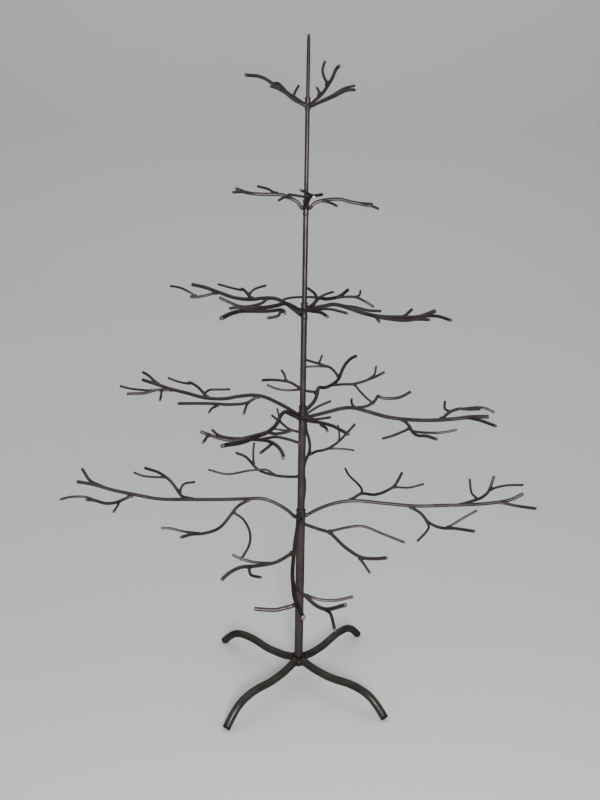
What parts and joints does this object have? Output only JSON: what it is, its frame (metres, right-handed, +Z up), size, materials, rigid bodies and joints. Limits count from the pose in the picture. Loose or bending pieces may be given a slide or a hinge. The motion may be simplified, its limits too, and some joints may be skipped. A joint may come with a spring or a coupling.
{
  "type": "artificial tabletop tree",
  "caption": "Tabletop display tree: four-legged tube base, stacked trunk tubes and tiers of bent, welded wire branches for hanging small ornaments.",
  "frame": {"origin": "on the trunk axis, in the plane of the table the feet rest on", "axes": "+Z up along the trunk, +X to the right and -Y to the front of the tree"},
  "size_m": [0.6643, 0.6628, 0.914],
  "materials": {
    "bronze_enamel": "dark bronze-brown enamel, satin gloss",
    "foot_plug_black": "black moulded end plug, matt"
  },
  "bodies": {
    "base": {"base_hub": "bronze_enamel", "leg_front_right": "bronze_enamel", "leg_back_right": "bronze_enamel", "leg_back_left": "bronze_enamel", "leg_front_left": "bronze_enamel", "foot_plug_front_right": "foot_plug_black", "foot_plug_back_right": "foot_plug_black", "foot_plug_back_left": "foot_plug_black", "foot_plug_front_left": "foot_plug_black"},
    "section_1": {"trunk_1": "bronze_enamel"},
    "section_2": {"trunk_2": "bronze_enamel"},
    "section_3": {"trunk_3": "bronze_enamel"},
    "section_4": {"trunk_4": "bronze_enamel"},
    "section_5": {"trunk_5": "bronze_enamel"},
    "section_6": {"trunk_6": "bronze_enamel"},
    "tier_1": {"tier1_sleeve": "bronze_enamel", "tier1_branch_right": "bronze_enamel", "tier1_branch_back": "bronze_enamel", "tier1_branch_left": "bronze_enamel", "tier1_branch_front": "bronze_enamel"},
    "tier_2": {"tier2_sleeve": "bronze_enamel", "tier2_branch_right": "bronze_enamel", "tier2_branch_back": "bronze_enamel", "tier2_branch_left": "bronze_enamel", "tier2_branch_front": "bronze_enamel"},
    "tier_3": {"tier3_sleeve": "bronze_enamel", "tier3_branch_right": "bronze_enamel", "tier3_branch_back": "bronze_enamel", "tier3_branch_left": "bronze_enamel", "tier3_branch_front": "bronze_enamel"},
    "tier_4": {"tier4_sleeve": "bronze_enamel", "tier4_branch_right": "bronze_enamel", "tier4_branch_back": "bronze_enamel", "tier4_branch_left": "bronze_enamel", "tier4_branch_front": "bronze_enamel"},
    "tier_5": {"tier5_sleeve": "bronze_enamel", "tier5_branch_right": "bronze_enamel", "tier5_branch_back": "bronze_enamel", "tier5_branch_left": "bronze_enamel", "tier5_branch_front": "bronze_enamel"}
  },
  "joints": [
    {"name": "lift_1", "type": "slide", "parent": "base", "child": "section_1", "axis": [0, 0, 1], "range_m": [0, 0.038]},
    {"name": "lift_2", "type": "slide", "parent": "section_1", "child": "section_2", "axis": [0, 0, 1], "range_m": [0, 0.032]},
    {"name": "lift_3", "type": "slide", "parent": "section_2", "child": "section_3", "axis": [0, 0, 1], "range_m": [0, 0.028]},
    {"name": "lift_4", "type": "slide", "parent": "section_3", "child": "section_4", "axis": [0, 0, 1], "range_m": [0, 0.026]},
    {"name": "lift_5", "type": "slide", "parent": "section_4", "child": "section_5", "axis": [0, 0, 1], "range_m": [0, 0.022]},
    {"name": "lift_6", "type": "slide", "parent": "section_5", "child": "section_6", "axis": [0, 0, 1], "range_m": [0, 0.018]},
    {"name": "swing_1", "type": "hinge", "parent": "section_1", "child": "tier_1", "pos_m": [0, 0, 0.276], "axis": [0, 0, 1], "continuous": true},
    {"name": "swing_2", "type": "hinge", "parent": "section_2", "child": "tier_2", "pos_m": [0, 0, 0.43], "axis": [0, 0, 1], "continuous": true},
    {"name": "swing_3", "type": "hinge", "parent": "section_3", "child": "tier_3", "pos_m": [0, 0, 0.575], "axis": [0, 0, 1], "continuous": true},
    {"name": "swing_4", "type": "hinge", "parent": "section_4", "child": "tier_4", "pos_m": [0, 0, 0.709], "axis": [0, 0, 1], "continuous": true},
    {"name": "swing_5", "type": "hinge", "parent": "section_5", "child": "tier_5", "pos_m": [0, 0, 0.833], "axis": [0, 0, 1], "continuous": true}
  ]
}
